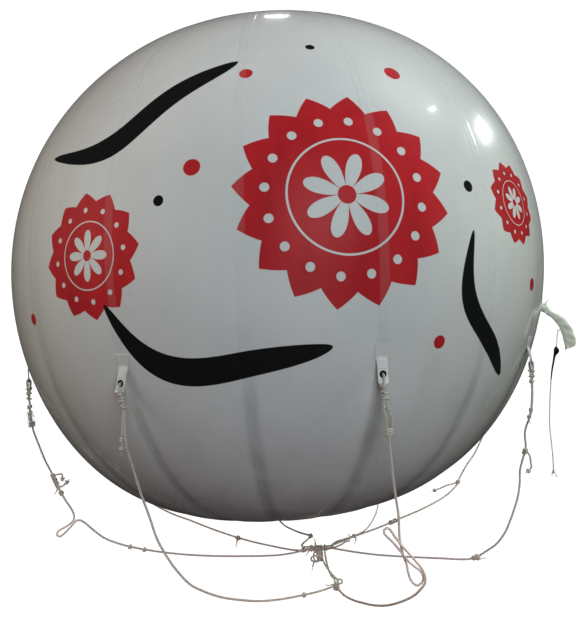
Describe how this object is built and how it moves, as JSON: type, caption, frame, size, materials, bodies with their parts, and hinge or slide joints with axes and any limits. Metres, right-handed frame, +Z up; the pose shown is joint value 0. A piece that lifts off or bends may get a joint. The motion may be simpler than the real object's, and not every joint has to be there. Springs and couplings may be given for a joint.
{
  "type": "round advertising sky balloon",
  "caption": "Round inflated film balloon of welded gores, with grommeted load tabs, a slack rope bridle gathered below it and a tied inflation sleeve.",
  "frame": {"origin": "centre of the envelope, where the balloon's lift holds it up", "axes": "+Z up through the crown disc; -Y faces the side that the picture shows; +X to its right"},
  "size_m": [2.4944, 2.4278, 2.6382],
  "materials": {
    "film": "glossy printed film",
    "patch": "welded film patch",
    "tab": "doubled film strip",
    "eyelet": "dulled pressed eyelet",
    "rope": "laid three-strand rope",
    "sleeve": "limp film",
    "tie": "thin braided string"
  },
  "bodies": {
    "envelope": {"gore_01": "film", "gore_02": "film", "gore_03": "film", "gore_04": "film", "gore_05": "film", "gore_06": "film", "gore_07": "film", "gore_08": "film", "gore_09": "film", "gore_10": "film", "gore_11": "film", "gore_12": "film", "gore_13": "film", "gore_14": "film", "gore_15": "film", "gore_16": "film", "crown_disc": "patch", "base_disc": "patch", "filler_flange": "patch", "filler_sleeve": "sleeve", "sleeve_tie": "tie", "tie_string": "tie", "string_knot": "tie", "rope_1": "rope", "rope_2": "rope", "rope_3": "rope", "rope_4": "rope", "rope_5": "rope", "rope_6": "rope", "rope_7": "rope", "rope_8": "rope", "gather_knot": "rope", "pendant_rope": "rope", "pendant_knot": "rope"},
    "load_tab_1": {"tab_1": "tab", "grommet_1": "eyelet", "hitch_1": "rope"},
    "load_tab_2": {"tab_2": "tab", "grommet_2": "eyelet", "hitch_2": "rope"},
    "load_tab_3": {"tab_3": "tab", "grommet_3": "eyelet", "hitch_3": "rope"},
    "load_tab_4": {"tab_4": "tab", "grommet_4": "eyelet", "hitch_4": "rope"},
    "load_tab_5": {"tab_5": "tab", "grommet_5": "eyelet", "hitch_5": "rope"},
    "load_tab_6": {"tab_6": "tab", "grommet_6": "eyelet", "hitch_6": "rope"},
    "load_tab_7": {"tab_7": "tab", "grommet_7": "eyelet", "hitch_7": "rope"},
    "load_tab_8": {"tab_8": "tab", "grommet_8": "eyelet", "hitch_8": "rope"}
  },
  "joints": [
    {"name": "tab_hinge_1", "type": "hinge", "parent": "envelope", "child": "load_tab_1", "pos_m": [-0.55049, -1.01812, -0.37524], "axis": [-0.8796, 0.4756, 0], "range_deg": [-8, 60]},
    {"name": "tab_hinge_2", "type": "hinge", "parent": "envelope", "child": "load_tab_2", "pos_m": [0.33066, -1.10918, -0.37524], "axis": [-0.9583, -0.2857, 0], "range_deg": [-8, 60]},
    {"name": "tab_hinge_3", "type": "hinge", "parent": "envelope", "child": "load_tab_3", "pos_m": [1.01812, -0.55049, -0.37524], "axis": [-0.4756, -0.8796, 0], "range_deg": [-8, 60]},
    {"name": "tab_hinge_4", "type": "hinge", "parent": "envelope", "child": "load_tab_4", "pos_m": [1.10918, 0.33066, -0.37524], "axis": [0.2857, -0.9583, 0], "range_deg": [-8, 60]},
    {"name": "tab_hinge_5", "type": "hinge", "parent": "envelope", "child": "load_tab_5", "pos_m": [0.55049, 1.01812, -0.37524], "axis": [0.8796, -0.4756, 0], "range_deg": [-8, 60]},
    {"name": "tab_hinge_6", "type": "hinge", "parent": "envelope", "child": "load_tab_6", "pos_m": [-0.33066, 1.10918, -0.37524], "axis": [0.9583, 0.2857, 0], "range_deg": [-8, 60]},
    {"name": "tab_hinge_7", "type": "hinge", "parent": "envelope", "child": "load_tab_7", "pos_m": [-1.01812, 0.55049, -0.37524], "axis": [0.4756, 0.8796, 0], "range_deg": [-8, 60]},
    {"name": "tab_hinge_8", "type": "hinge", "parent": "envelope", "child": "load_tab_8", "pos_m": [-1.10918, -0.33066, -0.37524], "axis": [-0.2857, 0.9583, 0], "range_deg": [-8, 60]}
  ]
}
